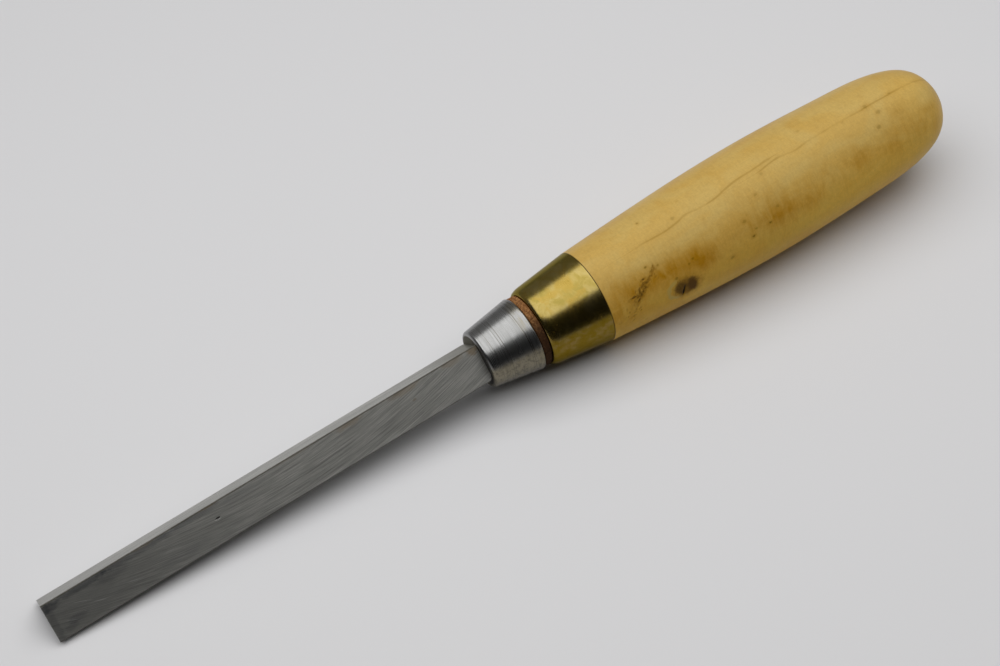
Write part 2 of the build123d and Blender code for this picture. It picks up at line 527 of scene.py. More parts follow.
def tears(x, a, r, grow=1.0):
    """Depth in mm of the torn grain, or with its chips grown the bruised wood round them."""
    depth = np.zeros(np.broadcast(x, a).shape)
    for station, angle, long, wide, turn, deep in chips():
        u, v = x - station, around(a, angle, r)
        c, s = math.cos(math.radians(turn)), math.sin(math.radians(turn))
        reach = ((u * c - v * s) / (long * grow)) ** 2 + ((u * s + v * c) / (wide * grow)) ** 2
        depth = np.maximum(depth, deep * np.exp(-(reach**1.5)))
    return depth


def knot_depth(u, v):
    """Depth in mm of the knot's sunken lobes, its crack and the rim round it."""
    left = np.exp(-(((u + 1.1) / 1.6) ** 2 + ((v + 0.1) / 2.1) ** 2) ** 2)
    right = np.exp(-(((u - 1.9) / 1.6) ** 2 + ((v - 0.3) / 2.2) ** 2) ** 2)
    crack = np.exp(-(((u + 0.45 + 0.32 * (v - 1.0)) / 0.20) ** 2)) * smooth(-0.6, 0.4, v)
    crack = crack * (1 - smooth(2.0, 2.6, v))
    rim = np.exp(-((np.hypot((u - 0.3) / 3.6, v / 2.7) - 1) / 0.16) ** 2)
    return 0.07 * left + 0.09 * right + 0.34 * crack - 0.018 * rim


def handle_profile(wood_x):
    """Stations and radii of the wood behind the ferrule, finer at the front and closer towards the butt."""
    side = cad_outline("handle", wood_x - 0.001, least=6.0)
    cap = cad_outline("handle", side[0][-1] + 0.001)
    outline = np.concatenate([side, cap], axis=1)
    butt = outline[0][-1]
    dome = butt - BUTT_LENGTH
    fine = spaced((wood_x + JOINT_ROUND, FINE_END, 0.17), (FINE_END, dome, 0.44))
    close = butt - BUTT_LENGTH * np.cos(np.linspace(0, math.pi / 2, 46)[1:-1]) ** 2
    stations = np.concatenate([fine, np.minimum(close, butt - 0.002)])
    squared = cubic(outline[0], outline[1] ** 2, stations)
    # The dome moves in a hair, which keeps the finished mesh inside the CAD solid's box
    return stations - 0.005 * smooth(dome, butt - 2, stations), np.sqrt(np.maximum(squared, 0))


def pin_marks(x, a, r):
    """Distance from the nearest pin knot in its own radii, and that knot's darkness."""
    shape = np.broadcast(x, a).shape
    pin, dark = np.full(shape, NOWHERE), np.zeros(shape)
    for station, angle, size, strength in PINS:
        away = np.hypot((x - station) / 1.15, around(a, angle, r) / 0.9) / size
        dark = np.where(away < pin, strength, dark)
        pin = np.minimum(pin, away)
    return pin, dark


def hidden_wood(wood_x, radius, angles):
    """Rows of points up the square tang hole, round the spigot and out to the ferrule's rim."""
    spigot_x = extent("handle")[0]
    ferrule, wood, tang = (cad_points(node) for node in ("ferrule", "handle", "blade"))
    bore = cad_radii(at_station(ferrule, wood_x)).min()
    neck = cad_radii(at_station(wood, spigot_x)).max()
    hole_end = float(tang[:, 0].max()) + HOLE_BEYOND
    hole_front = np.abs(at_station(tang, extent("ferrule")[0])[:, 2]).max()
    front_x = [spigot_x, spigot_x + 0.3, wood_x, wood_x, wood_x + JOINT_ROUND * 0.3]
    front_r = [neck - 0.3, neck, bore, radius - JOINT_ROUND, radius - JOINT_ROUND * 0.3]
    hole = [square_ring(hole_end, HOLE_END_HALF, angles), square_ring(spigot_x, hole_front, angles)]
    return np.concatenate([hole, turned(front_x, front_r, angles)])


def make_handle(material):
    """Turned boxwood: swelling grip with its knot and torn grain, spigot and square tang hole."""
    wood_x, butt_x = extent("ferrule")[1], extent("handle")[1]
    angles = spaced((30, 106, 0.62), (106, 390, 1.86))[:-1]
    stations, radii = handle_profile(wood_x)
    x, a, r = stations[:, None], angles[None, :], radii[:, None]
    points = turned(stations, radii, angles)
    u, v = x - KNOT[0] + 0 * a, around(a, KNOT[1], r)
    scar = tears(x, a, r, SCAR_GROWTH)
    torn = tears(x, a, r) * (0.85 + 0.45 * noise(points, 0.42, 3)) * (0.9 + 0.4 * noise(points, 0.25, 4))
    near_knot = np.exp(-((u / 5) ** 2 + (v / 4) ** 2) ** 2)
    sunk = knot_depth(u + 0.25 * noise(points, 0.9, 5), v + 0.25 * noise(points, 0.9, 6)) * near_knot
    pin, dark = pin_marks(x, a, r)
    line = line_distance(x, a, r, GROWTH_LINE)
    branch = line_distance(x, a, r, GROWTH_BRANCH)
    back_line = line_distance(x, a, r, BACK_LINE)
    groove = sum(0.005 * np.exp(-((d / 0.22) ** 2)) for d in (line, branch, back_line))
    hand_turned = 0.012 * (1 + noise(points, (14, 9, 9), 8)) + 0.004 * (1 + noise(points, (5, 3, 3), 9))
    fade = smooth(0, 4, butt_x - x)
    lift = -(torn + sunk + 0.02 * dark * np.exp(-(pin**2)) + groove + hand_turned) * fade

    rows = turned(stations, radii, angles, lift)
    hidden = hidden_wood(wood_x, radii[0], angles)

    def whole_of(field, value=0.0):
        """A field of the visible rows, with one value before it for the hidden ones."""
        return np.concatenate([np.full(hidden.shape[:2], value), field])

    nearer = np.where(np.abs(branch) < np.abs(back_line), branch, back_line)
    shell = Shell().add(
        np.concatenate([hidden, rows]),
        inward=True,
        caps=(True, True),
        amber=whole_of(blobs(x, a, CLOUDS) - 0.5 * blobs(x, a, PALE_CLOUDS)),
        torn=whole_of(torn),
        scar=whole_of(scar),
        pin=whole_of(pin, NOWHERE),
        pin_dark=whole_of(dark),
        line=whole_of(line, NOWHERE),
        branch=whole_of(nearer, NOWHERE),
        knot=np.stack([whole_of(u, 40.0), whole_of(v, 40.0), whole_of(sunk)], -1),
    )
    return shell.build("boxwood_handle", "handle", "boxwood", material, sharp=50)


def wood_base(n, place):
    """The wood's colour from soft clouds, amber patches, cross ripples and its very fine grain, with painted
    light on the side turned down.
    """
    x, y, z = n.axes(place)
    turn = n.turn(y, z)
    curl = n.drawn(place, (0.075, 0.12, 0.12), 3, 0.5, 0.8)
    ripple = n.noise(n.vector(n.times(x, 0.55), n.times(turn, 1.3), 3.0), 1.0, 3, 0.6, 0.5)
    strokes = n.drawn(place, (2.1, 0.7, 0.7), 3, 0.6, 0.4, offset=(5, 0, 2))
    fibre = n.drawn(place, (0.12, 1.3, 1.3), 3, 0.55, 0.5)
    fleck = n.drawn(place, (1.6, 2.8, 2.8), 3, 0.6)
    swirl = n.drawn(place, (0.34, 0.24, 0.24), 4, 0.55, 0.7, offset=(3, 8, 1))
    amber = n.value("amber")
    cloud = n.times(amber, n.span(curl, 0.25, 0.75, 0.85, 1.15), n.span(ripple, 0.3, 0.7, 0.85, 1.15))
    cloud = n.times(cloud, n.span(swirl, 0.30, 0.68, 0.78, 1.16))
    cloud = n.plus(cloud, n.span(curl, 0.40, 0.75, -0.02, 0.08))
    cloud = n.plus(cloud, n.span(swirl, 0.40, 0.75, -0.02, 0.09))
    cloud = n.plus(cloud, n.span(ripple, 0.32, 0.70, -0.03, 0.06), clamp=True)
    base = n.mix(n.span(curl, 0.62, 0.34), WOOD_WARM, WOOD_PALE)
    base = n.mix(cloud, base, WOOD_AMBER)
    # Painted light: the side turned down brightened, and further down made warmer and less blue, standing in
    # for its weaker sheen
    base = n.tinted(low_side(n, turn, 28, 62), base, WOOD_PAINTED_LIGHT)
    base = n.tinted(low_side(n, turn, 50, 90), base, WOOD_LOW_SIDE_NO_SHEEN)
    palm = n.times(low_side(n, turn, 35, 75), n.span(x, 188, 226))
    butt = n.times(n.span(turn, -0.3, 0.1), n.span(x, 231, 245, 0, 0.8))
    base = n.tinted(n.math("MAXIMUM", palm, butt), base, WOOD_WORN)
    grain = n.times(n.span(fleck, 0.25, 0.75, 0.95, 1.045), n.span(fibre, 0.25, 0.75, 0.98, 1.02))
    grain = n.times(grain, n.span(strokes, 0.3, 0.7, 0.955, 1.035))
    return n.mix(1.0, base, n.vector(grain, grain, grain), "MULTIPLY"), fibre, fleck


def wood_lines(n, place, colour):
    """The growth lines, wavering and broken, over a colour."""
    wander = n.swing(n.drawn(place, (0.30, 1, 1), 2), 0.5)
    broken = n.span(n.drawn(place, (0.14, 0.2, 0.2), 2), 0.34, 0.60, 0.35, 1.0)
    for name, width in (("line", LINE_WIDTH), ("branch", LINE_WIDTH * 0.9)):
        off = n.math("ABSOLUTE", n.plus(n.value(name), wander))
        colour = n.mix(n.times(n.span(off, 1.4, 0.1, 0.0, 0.10), broken), colour, WOOD_AMBER)
        colour = n.mix(n.times(n.span(off, width * 3.0, width * 0.4), broken, 0.42), colour, WOOD_LINE)
    return colour


def wood_knot(n, place, colour):
    """The knot's two dark lobes, the black crack between them and the pale ring beside it."""
    u, v = n.axes(n.attribute("knot"))[:2]
    fine = n.drawn(place, (3.4, 2.4, 2.4), 3, 0.6)
    shift = n.swing(n.noise(place, 0.9, 4, 0.62), 0.9)
    colour = n.mix(n.spots(u, v, [(0.5, 0.1, 4.4, 3.3, 0.6)], 0.35, shift), colour, WOOD_AMBER)
    ring = n.plus(n.far(u, v, (-0.6, -0.2), (3.7, 2.5)), n.times(shift, 0.6))
    pale = n.times(n.span(ring, 1.35, 1.1), n.span(ring, 0.85, 1.0), n.span(u, -0.8, -3.0), 0.85)
    colour = n.mix(pale, colour, KNOT_HALO)
    colour = n.mix(n.spots(u, v, [(0.4, 0.1, 3.2, 2.4, 0.85)], 0.30, shift), colour, KNOT_RIM)
    lobes = n.spots(u, v, [(-1.05, -0.1, 1.5, 1.95, 0.85)], 0.45, shift)
    colour = n.mix(lobes, colour, n.mix(n.span(fine, 0.35, 0.62), KNOT_BROWN, KNOT_RED))
    colour = n.mix(n.spots(u, v, [(1.95, 0.3, 1.5, 2.05, 0.92)], 0.42, shift), colour, KNOT_RED)
    # The crack is painted near black: its own dark wood and painted shade inside it
    slope = n.times(n.minus(v, 1.0), 0.32)
    crack = n.math("ABSOLUTE", n.plus(n.plus(u, 0.45), slope))
    reach = n.times(n.span(v, -0.9, 0.1), n.span(v, 2.6, 2.0), n.span(crack, 0.34, 0.14))
    return n.mix(reach, colour, KNOT_BLACK), n.spots(u, v, [(0.4, 0.1, 3.2, 2.4, 1.0)], 0.2)


def boxwood():
    """Satin varnished boxwood: fine grain, amber clouds, growth lines, pin knots, a knot, torn grain."""
    n = material_nodes("boxwood_satin")
    place = n.attribute("tool")
    colour, fibre, fleck = wood_base(n, place)
    colour = wood_lines(n, place, colour)
    dark = n.value("pin_dark")
    spot = n.plus(n.value("pin"), n.swing(n.noise(place, 2.2, 2), 0.9))
    colour = n.layers(
        colour,
        (n.times(n.span(spot, 2.8, 0.8, 0.0, 0.35), dark), WOOD_AMBER),
        (n.times(n.span(spot, 1.25, 0.55, 0.0, 0.78), dark), PIN_OLIVE),
    )
    colour, knot = wood_knot(n, place, colour)
    torn = n.value("torn")
    scar = n.times(n.value("scar"), n.span(n.noise(place, 1.6, 4, 0.65), 0.3, 0.7, 0.3, 1.5))
    joint = extent("ferrule")[1]
    colour = n.layers(
        colour,
        (n.span(scar, 0.03, 0.26, 0.0, 0.55), WOOD_TORN),
        (n.span(torn, 0.01, 0.08, 0.0, 0.55), WOOD_TORN),
        (n.span(torn, 0.08, 0.24, 0.0, 0.75), KNOT_BROWN),
        (n.span(n.axes(place)[0], joint + 0.24, joint + 0.06, 0.0, 0.9), JOINT_DARK),
    )
    height = n.plus(n.times(fleck, 0.6), n.times(fibre, 0.4))
    pores = n.drawn(place, (3.2, 8, 8), 2, 0.6)
    normal = n.bump(pores, 0.003, after=n.bump(height, 0.010))
    rough = n.plus(n.span(fleck, 0.3, 0.7, 0.38, 0.44), n.span(torn, 0.01, 0.1, 0.0, 0.3))
    rough = n.plus(rough, n.times(knot, 0.25))
    return n.finish(
        Base_Color=colour, Roughness=rough, Normal=normal, IOR=1.48, Specular_IOR_Level=0.25,
        Specular_Tint=WOOD_GLOSS,
    )


# ---------------------------------------------------------------- blade

STEEL_DARK = (0.247, 0.245, 0.227)
STEEL_LIGHT = (0.604, 0.598, 0.560)
STEEL_MEAN = (0.405, 0.401, 0.376)
STEEL_HEELWARD_LIFT = (1.07, 1.07, 1.07)
STAIN_BROWN = (0.20, 0.145, 0.080)
STEEL_DULL = (0.205, 0.195, 0.160)
STAIN_BLUE = (0.145, 0.150, 0.158)
# Dark keel line, and painted shade along the wings' lower corners
STEEL_EDGE_AND_SHADE = (0.085, 0.078, 0.062)
SCRATCH_BRIGHT = (0.75, 0.75, 0.73)
PIT = (43.8, 3.7)
PIT_SIZE = (0.55, 0.2)
GRIND_CENTRE = (60.0, -180.0)
WALL = 2.4
WING_END = 2.5
EDGE_WALL = 0.35
BEVEL_LENGTH = 5.0
RUNOUT = (101.0, 112.0)
KEEL_ROUND = 0.15
WING_ROUND = 0.15
HEEL_ROUND = 1.2
TANG_END_HALF = 1.3
TANG_POINT = 0.8
# Stains on the near flank: station, distance from the keel, half sizes in mm, strength
BROWN_STAINS = [
    (80.5, 0.4, 3.2, 1.0, 0.55), (95.5, 0.5, 4.2, 0.9, 0.55), (109, 0.5, 2.8, 1.0, 0.50),
    (97, 3.7, 0.5, 0.3, 0.5), (42.8, 0.1, 2.0, 0.35, 0.9), (114.6, 0.6, 1.6, 1.3, 0.75),
    (26, 0.2, 3.0, 0.4, 0.35), (66, 0.2, 5.0, 0.35, 0.35),
]
BLUE_STAINS = [
    (10, 0.8, 6.0, 0.85, 0.60), (1.5, 1.4, 2.4, 1.0, 0.60), (24, 0.6, 9.0, 0.9, 0.40),
    (38, 0.6, 7.0, 0.8, 0.3), (6.0, 6.5, 2.5, 0.8, 0.3), (17, 2.2, 4.0, 1.0, 0.25),
    (52, 1.4, 6.0, 0.8, 0.15), (34, 6.8, 7.0, 1.0, 0.18), (1.0, 5.0, 0.8, 5.0, 0.3),
    (4.0, 7.6, 2.0, 0.7, 0.3),
]
# Scratches: station, distance from the keel, half length in mm, turn in degrees
SCRATCHES = [
    (8.7, 4.0, 2.4, 20.5), (4.5, 6.4, 1.6, 23), (12, 5.8, 1.8, 18), (21, 6.1, 2.2, 13), (31.5, 4.6, 3.0, 9),
]


def keel_line():
    """Height and slope of the keel along the tool's axis, and the V's half width."""
    points = cad_points("blade")
    half = np.abs(points[:, 1]).max()
    corners = points[(np.abs(points[:, 1]) > half - 0.001) & (points[:, 2] < half)]
    slope, height = np.polyfit(corners[:, 0], corners[:, 2], 1)
    return float(height + half), float(slope), float(half)


def v_half(keel, reach, wall, bottom):
    """One half of the V's section, from the middle of the keel down the outside, round the wing's
    square end and back up inside. Rows of distance from the middle, height, distance down the flank,
    and 1 if outside."""
    corner = reach / ROOT2
    deepest = (keel - corner - bottom) * ROOT2
    rows = []
    for turn in np.radians(np.linspace(0, 45, 5)[:-1]):
        rise = keel - KEEL_ROUND * ROOT2 + KEEL_ROUND * math.cos(turn)
        rows.append((KEEL_ROUND * math.sin(turn), rise, KEEL_ROUND * turn, 1))
    for share in spaced((0, 0.33, 0.034), (0.33, 0.47, 0.009), (0.47, 1, 0.034)):
        w = KEEL_ROUND + (reach - WING_ROUND - KEEL_ROUND) * share
        rows.append((w / ROOT2, keel - w / ROOT2, w, 1))
    centre = corner - WING_ROUND * ROOT2
    for turn in np.radians(np.linspace(45, 135, 6)[1:]):
        rise = keel - corner + WING_ROUND * math.cos(turn)
        rows.append((centre + WING_ROUND * math.sin(turn), rise, reach, 1))
    for width in np.linspace(WING_ROUND, min(wall, deepest) - 0.08, 6)[1:]:
        rows.append((corner - width / ROOT2, keel - corner - width / ROOT2, reach, 0))
    top = keel - wall * ROOT2
    foot = max(min(corner - wall / ROOT2, top - bottom) - 0.08, 0.12)
    start, end = np.array(rows[-1][:2]), np.array((foot, max(top - foot, bottom)))
    for share in np.linspace(0, 1, 5)[1:]:
        rows.append((*(start + (end - start) * share), reach - 0.5, 0))
    for share in np.linspace(0, 1, 12)[1:]:
        rise = end[1] + (max(top, bottom) - end[1]) * share
        rows.append((foot * (1 - share), rise, 8.5 - 7.5 * share, 0))
    return np.array(rows)


def v_section(x, keel, reach, wall, bottom):
    """Loop of points round the V at a station, and their flank, distance down it, and side."""
    rows = v_half(keel, reach, wall, bottom)
    mirrored = rows[-2:0:-1] * [-1, 1, 1, 1]
    loop = np.concatenate([rows, mirrored])
    side = np.where(loop[:, 0] < 0, 1, -1) * np.where(loop[:, 3] > 0, 1, 2)
    points = np.stack([np.full(len(loop), x), loop[:, 0], loop[:, 1]], -1)
    return points, np.stack([points[:, 0], loop[:, 2], side], -1)


def make_blade(material):
    """Folded V with its inside bevel and run-out, and the hidden stem and tang, as closed shells."""
    height, slope, half = keel_line()
    collar_x = extent("bolster")[0]
    solid = half + WING_END / ROOT2
    walls = (EDGE_WALL, WALL, WALL, solid / ROOT2)
    heel = collar_x - HEEL_ROUND
    sections = []
    before, after = PIT[0] - 1.0, PIT[0] + 1.0
    stations = spaced(
        (0, 2, 0.1), (2, before, 0.4), (before, after, 0.12), (after, 112, 0.4), (112, heel, 0.2),
        (heel, collar_x, 0.09),
    )
    for x in stations:
        keel = height + slope * x
        back = min(max(0.0, x - heel), HEEL_ROUND)
        lift = HEEL_ROUND - math.sqrt(HEEL_ROUND**2 - back**2)
        wall = np.interp(x, (0, BEVEL_LENGTH, *RUNOUT), walls)
        sections.append(v_section(x, keel, half * ROOT2 - lift, wall, keel - solid + lift))
    rows, flank = (np.array(part) for part in zip(*sections))
    x, w, side = (flank[..., i] for i in range(3))
    outside = (np.abs(side) == 1) * smooth(0.0, 0.6, w) * smooth(0.0, 0.8, half * ROOT2 - w)
    pit = np.exp(-((((x - PIT[0]) / PIT_SIZE[0]) ** 2 + ((w - PIT[1]) / PIT_SIZE[1]) ** 2) ** 1.5))
    waves = 0.010 * (1 + noise(rows, (9, 3, 3), 21)) + 0.004 * (1 + noise(rows, (2.2, 0.8, 0.8), 22))
    sink = outside * waves + 0.14 * pit * (side == 1)
    rows[..., 1] += sink * np.sign(side) / ROOT2
    rows[..., 2] -= sink / ROOT2
    lengthwise = rows * [1, 0, 0]
    worn = smooth(0.1, 0.8, noise(lengthwise, 1.3, 23)) * 0.03
    worn = worn + 0.008 * (1 + noise(lengthwise, 0.35, 24))
    rows[..., 2] -= np.where((w < 0.5) & (np.abs(side) == 1), worn, 0)

    shell = Shell().add(rows, caps=(True, True), flank=flank)
    add_tang(shell, collar_x)
    return shell.build("v_blade", "blade", "blade_steel", material, sharp=28)


def add_tang(shell, collar_x):
    """The round stem through the collar and the washer, and the tapered square tang behind it."""
    angles = np.arange(0, 360, 5.625)
    points = cad_points("blade")
    tang_x, tang_end = extent("ferrule")[0], float(points[:, 0].max())
    here = at_station(points, tang_x)
    stem = cad_radii(here).max() - 0.05
    tang_half = float(np.abs(here[:, 2])[np.abs(here[:, 2]) < stem * 0.9].max())
    rounds = (collar_x, stem), (tang_x - 0.3, stem), (tang_x, stem - 0.3)
    point = (tang_end - TANG_POINT, TANG_END_HALF), (tang_end, TANG_END_HALF - TANG_POINT)
    rings = [turned([x, x + 1], [r, r], angles)[0] for x, r in rounds]
    rings += [square_ring(x, half, angles) for x, half in ((tang_x, tang_half), *point)]
    rings = np.array(rings)
    hidden = np.stack([rings[..., 0], np.full(rings.shape[:2], 4.0), np.full(rings.shape[:2], 3.0)], -1)
    shell.add(rings, inward=True, caps=(True, True), flank=hidden)


def grinding(n, x, w, side):
    """Noise drawn out along the grinding lines' arcs: broad, coarse, fine and sparse."""
    dx, dw = n.minus(x, GRIND_CENTRE[0]), n.minus(w, GRIND_CENTRE[1])
    radius = n.length(dx, dw)
    arcs = n.vector(radius, n.times(n.math("ARCTAN2", dx, dw), 180.0), n.times(side, 7.3))
    broad = n.drawn(arcs, (0.55, 0.025, 1), 2, 0.5, offset=(9, 2, 4))
    coarse = n.drawn(arcs, (3.4, 0.07, 1), 3, 0.7)
    fine = n.drawn(arcs, (8.5, 0.13, 1), 3, 0.75, offset=(3, 5, 1))
    sparse = n.drawn(arcs, (5.0, 0.11, 1), 1, 0.5, offset=(7, 1, 8))
    return broad, coarse, fine, sparse


def scratches(n, x, w):
    """Mask of a few bright scratches across the grinding lines."""
    total = 0.0
    for station, down, long, turn in SCRATCHES:
        c, s = math.cos(math.radians(turn)), math.sin(math.radians(turn))
        u, v = n.minus(x, station), n.minus(w, down)
        along = n.plus(n.times(u, c), n.times(v, s))
        beside = n.minus(n.times(v, c), n.times(u, s))
        away = n.far(along, beside, (0, 0), (long, 0.055))
        total = n.plus(total, n.span(away, 1.2, 0.4), clamp=True)
    return total


def blade_steel():
    """Dark ground steel with arcs of grinding lines on each flank, stains along the keel and a pit."""
    n = material_nodes("ground_steel")
    place = n.attribute("tool")
    x, w, side = n.axes(n.attribute("flank"))
    broad, coarse, fine, sparse = grinding(n, x, w, side)
    blotch = n.drawn(place, (0.10, 0.35, 0.35), 4, 0.6, 0.5)
    shade = n.plus(n.times(coarse, 0.40), n.times(fine, 0.52))
    shade = n.plus(shade, n.times(broad, 0.08))
    near, far = n.span(side, 0.2, 0.8), n.span(side, -0.2, -0.8)
    colour = n.layers(
        n.mix(n.span(shade, 0.36, 0.64), STEEL_DARK, STEEL_LIGHT),
        (n.span(x, 38.0, 6.0, 0.0, 0.45), STEEL_MEAN),
        (n.span(blotch, 0.45, 0.75, 0.0, 0.25), STEEL_DARK),
        (n.span(sparse, 0.66, 0.76, 0.0, 0.40), STEEL_DARK),
    )
    # The flanks made brighter towards the heel
    colour = n.tinted(n.span(x, 50.0, 68.0), colour, STEEL_HEELWARD_LIFT)
    scratch = n.times(scratches(n, x, w), near)
    shift = n.swing(n.drawn(place, (0.7, 1.4, 1.4), 3, 0.6), 1.3)
    blue = n.times(n.spots(x, w, BLUE_STAINS, 0.4, shift), near)
    brown = n.times(n.spots(x, w, BROWN_STAINS, 0.4, shift), near)
    # A dark line along the keel, and painted shade along the wings' lower corners, which face the shaded
    # floor
    keel = n.span(n.plus(w, n.times(shift, 0.10)), 0.42, 0.20)
    flank = keel_line()[2] * ROOT2
    corner = n.span(w, flank - 0.30, flank - 0.10)
    edge = n.math("MAXIMUM", keel, corner)
    pit = n.times(n.spots(x, w, [(*PIT, 0.66, 0.28, 1.0)], 0.15), near)
    colour = n.layers(
        colour,
        (n.times(scratch, 0.8), SCRATCH_BRIGHT),
        (blue, STAIN_BLUE),
        (brown, STAIN_BROWN),
        (n.times(edge, 0.85), STEEL_EDGE_AND_SHADE),
        (n.times(n.span(x, 99.0, 116.0, 0.0, 0.8), far), STEEL_DULL),
        (n.times(n.span(x, 24.0, 8.0, 0.0, 0.22), far), STEEL_DARK),
        (pit, GRIME_AND_SHADE),
    )
    rough = n.plus(n.span(shade, 0.3, 0.7, 0.03, -0.03), n.span(x, 0.0, 60.0, 0.385, 0.45))
    rough = n.plus(rough, n.times(edge, 0.3))
    height = n.plus(n.times(coarse, 0.5), n.times(fine, 0.5))
    height = n.minus(height, n.times(scratch, 0.2))
    metal = n.minus(1.0, n.math("MAXIMUM", pit, n.times(brown, 0.5)))
    return n.finish(Base_Color=colour, Metallic=metal, Roughness=rough, Normal=n.bump(height, 0.030))


# ---------------------------------------------------------------- bolster

# Rings scored round the cone: station, half width and depth in mm
SCORES = [
    (118.45, 0.09, 0.022), (119.2, 0.06, 0.010), (119.8, 0.05, 0.007), (120.5, 0.07, 0.024),
    (121.2, 0.09, 0.026), (122.1, 0.06, 0.009), (123.5, 0.08, 0.016), (124.6, 0.06, 0.010),
    (125.4, 0.06, 0.012), (126.2, 0.07, 0.016), (126.7, 0.10, 0.022), (127.3, 0.07, 0.016),
    (127.9, 0.05, 0.010),
]
BOLSTER_ROUNDS = (0.9, 0.4)
STEM_CLEARANCE = 4.02
# Near black: grime in the blade's pit, and painted shade on the bolster's front face
GRIME_AND_SHADE = (0.010, 0.008, 0.005)
DULL_FACE = (0.16, 0.15, 0.12)


def ring_profile(node, front_round, rear_round):
    """Outline of a turned collar: its ends, its rounded rims and the cone between them."""
    start, end = extent(node)
    stations, radii = cad_outline(node)
    longest = np.argmax(np.diff(stations))
    slope = np.diff(radii)[longest] / np.diff(stations)[longest]
    height = radii[longest] - slope * stations[longest]
    lean = math.degrees(math.atan(slope))

    def cone(station):
        return height + slope * station

    def rim(station, radius, first, last, steps):
        centre = cone(station) - radius / math.cos(math.radians(lean))
        return arc((station, centre), radius, first, last, steps)

    front = rim(start + front_round, front_round, 180, 90 + lean, 18)
    rear = rim(end - rear_round, rear_round, 90 + lean, 0, 12)
    return start, end, front, rear, cone


def bored(start, end, front, sides, rear, cone, steps):
    """Outline of a collar with a bore: up its front face, along its rims and cone, down its rear face."""
    face = [(start, r) for r in np.linspace(STEM_CLEARANCE, front[0, 1] - 0.1, steps[0])]
    back = [(end, r) for r in np.linspace(rear[-1, 1] - 0.1, STEM_CLEARANCE, steps[1])]
    return np.concatenate([face, front, np.stack([sides, cone(sides)], -1), rear, back])


def make_bolster(material):
    """Turned steel cone with scored rings, rounded rims and its bore."""
    start, end, front, rear, cone = ring_profile("bolster", *BOLSTER_ROUNDS)
    sides = spaced((front[-1, 0] + 0.05, rear[0, 0] - 0.05, 0.055))
    profile = bored(start, end, front, sides, rear, cone, (10, 6))
    angles = np.arange(0, 360, 1.5)
    x = profile[:, 0][:, None]
    points = turned(*profile.T, angles)
    cone_only = smooth(start + 0.9, start + 1.2, x) * (1 - smooth(end - 0.6, end - 0.4, x))
    cone_only = cone_only * (profile[:, 1] > 7)[:, None]
    score = np.zeros(points.shape[:2])
    for station, width, depth in SCORES:
        patchy = 0.65 + 0.45 * noise(points, (0.6, 5, 5), int(station * 10))
        score += depth * patchy * np.exp(-(((x - station) / width) ** 2))
    lathe = 0.0025 * (1 + noise(np.stack([x + 0 * score, 0 * score, 0 * score], -1), 0.16, 31))
    lift = -(score + lathe) * cone_only
    rows = turned(*profile.T, angles, lift)
    shell = Shell().add(rows, inward=True, along=True, score=score * cone_only)
    return shell.build("turned_bolster", "bolster", "bolster_steel", material, sharp=40)


BRIGHT_STEEL = (0.30, 0.30, 0.297)
GREY_STEEL = (0.215, 0.215, 0.208)
BROWN_STEEL = (0.207, 0.177, 0.108)
DULL_STEEL = (0.100, 0.092, 0.070)


def bolster_steel():
    """Bright turned steel with fine lathe lines, a brownish bloom near the washer, and painted shade on its
    side turned down and its front face.
    """
    n = material_nodes("turned_steel")
    place = n.attribute("tool")
    x, y, z = n.axes(place)
    turn = n.turn(y, z)
    low = low_side(n, turn)
    lines = n.vector(x, n.times(turn, 1.2), 0.0)
    fine = n.drawn(lines, (9, 0.35, 1), 3, 0.7)
    wide = n.drawn(lines, (2.2, 0.5, 1), 3, 0.6, offset=(4, 1, 0))
    smear = n.drawn(place, (0.5, 0.22, 0.22), 4, 0.6, 0.4)
    shade = n.plus(n.times(fine, 0.5), n.times(wide, 0.5))
    bloom = n.times(n.span(smear, 0.42, 0.62), n.span(x, 125.5, 128.2))
    radius = n.length(y, z)
    front = extent("bolster")[0]
    face = n.times(n.span(x, front + 0.30, front + 0.12), n.span(radius, 6.9, 6.5))
    mottle = n.span(n.drawn(place, (0.9, 0.8, 0.8), 5, 0.7, offset=(2, 6, 3)), 0.46, 0.62)
    worn = n.times(n.span(wide, 0.52, 0.64), n.span(x, 125.0, 126.2), n.span(x, 128.6, 128.0))
    # Painted shade: the front face near black on its side towards -y, between the blade and the rim
    face_shade = n.times(face, n.span(turn, -0.35, 0.05), n.span(turn, 2.7, 2.2))
    colour = n.layers(
        n.mix(n.span(shade, 0.36, 0.60), GREY_STEEL, BRIGHT_STEEL),
        (n.span(smear, 0.50, 0.72, 0.0, 0.45), GREY_STEEL),
        (n.times(bloom, 0.5), BROWN_STEEL),
        # Painted shade and darker, browner reflection on the side turned down, with mottled spots
        (n.times(low, 0.75), BROWN_STEEL),
        (n.times(low, mottle, 0.75), DULL_STEEL),
        (n.times(worn, 0.6), DULL_STEEL),
        (n.span(n.value("score"), 0.004, 0.018, 0.0, 0.65), DULL_STEEL),
        (face, n.mix(face_shade, DULL_FACE, GRIME_AND_SHADE)),
    )
    rough = n.plus(n.span(shade, 0.3, 0.7, 0.31, 0.25), n.times(face, 0.4))
    metal = n.span(face_shade, 0.2, 0.8, 1.0, 0.0)
    return n.finish(Base_Color=colour, Metallic=metal, Roughness=rough, Normal=n.bump(shade, 0.008))


# ---------------------------------------------------------------- washer

LEATHER_TAN = (0.430, 0.215, 0.080)
LEATHER_RED = (0.165, 0.066, 0.020)
LEATHER_DARK = (0.026, 0.010, 0.003)
WASHER_ROUNDS = (0.35, 0.35)


